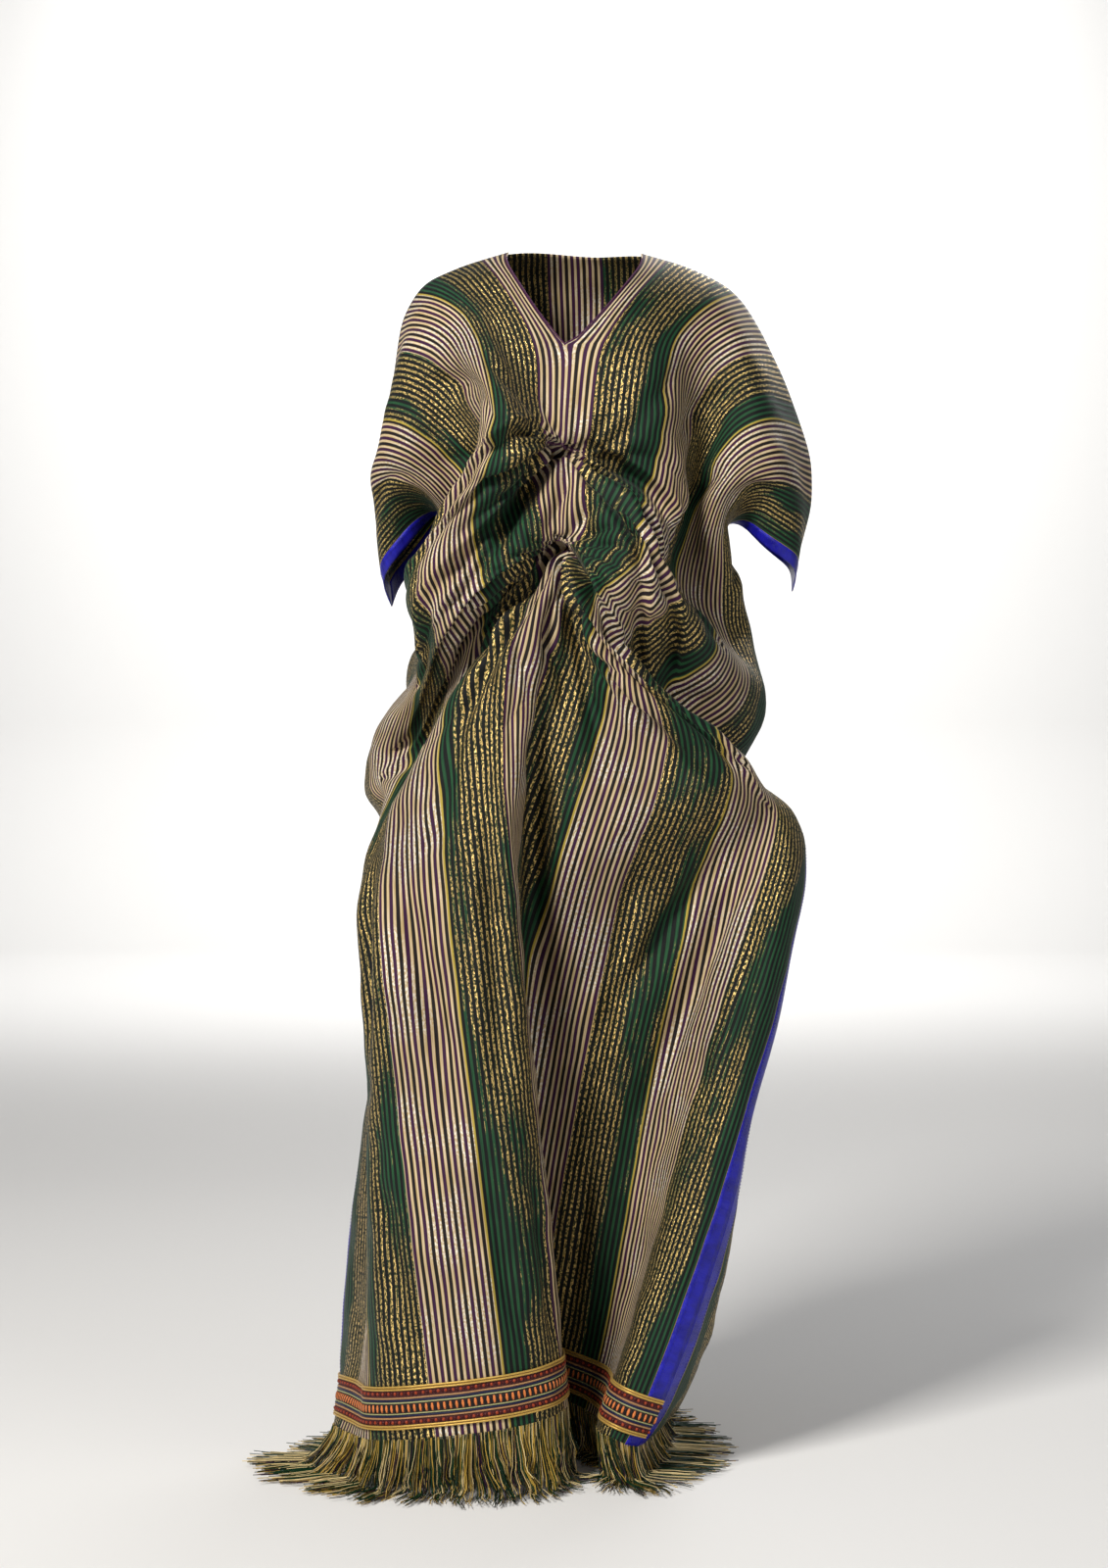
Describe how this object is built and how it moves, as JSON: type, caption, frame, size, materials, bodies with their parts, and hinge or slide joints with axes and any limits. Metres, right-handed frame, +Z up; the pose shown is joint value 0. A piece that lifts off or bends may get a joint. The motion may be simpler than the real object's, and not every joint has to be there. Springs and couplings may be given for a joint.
{
  "type": "kaftan dress",
  "caption": "Floor-length kaftan in wide striped cloth, open V neck, loose sleeves, two centre gathers and raised swags at the hips, held out as if worn, with hem braid and fringe.",
  "frame": {"origin": "the mount 'held': middle of the neck opening, level with the tops of the shoulders, where the garment hangs", "axes": "+Z up towards the neck, the length of the garment; the front faces -Y; +X is to the right of someone who looks at the front"},
  "size_m": [0.6822, 0.6456, 1.5086],
  "materials": {
    "striped_cloth": "woven stripes with a slight metallic thread",
    "blue_satin": "shiny satin",
    "braid": "raised braid",
    "fringe": "loose threads"
  },
  "bodies": {
    "root": {"front_panel": "striped_cloth", "back_panel": "striped_cloth", "binding_front_left": "blue_satin", "binding_front_right": "blue_satin", "binding_back_left": "blue_satin", "binding_back_right": "blue_satin", "hem_trim": "braid", "fringe_front": "fringe", "fringe_back": "fringe"}
  },
  "joints": []
}
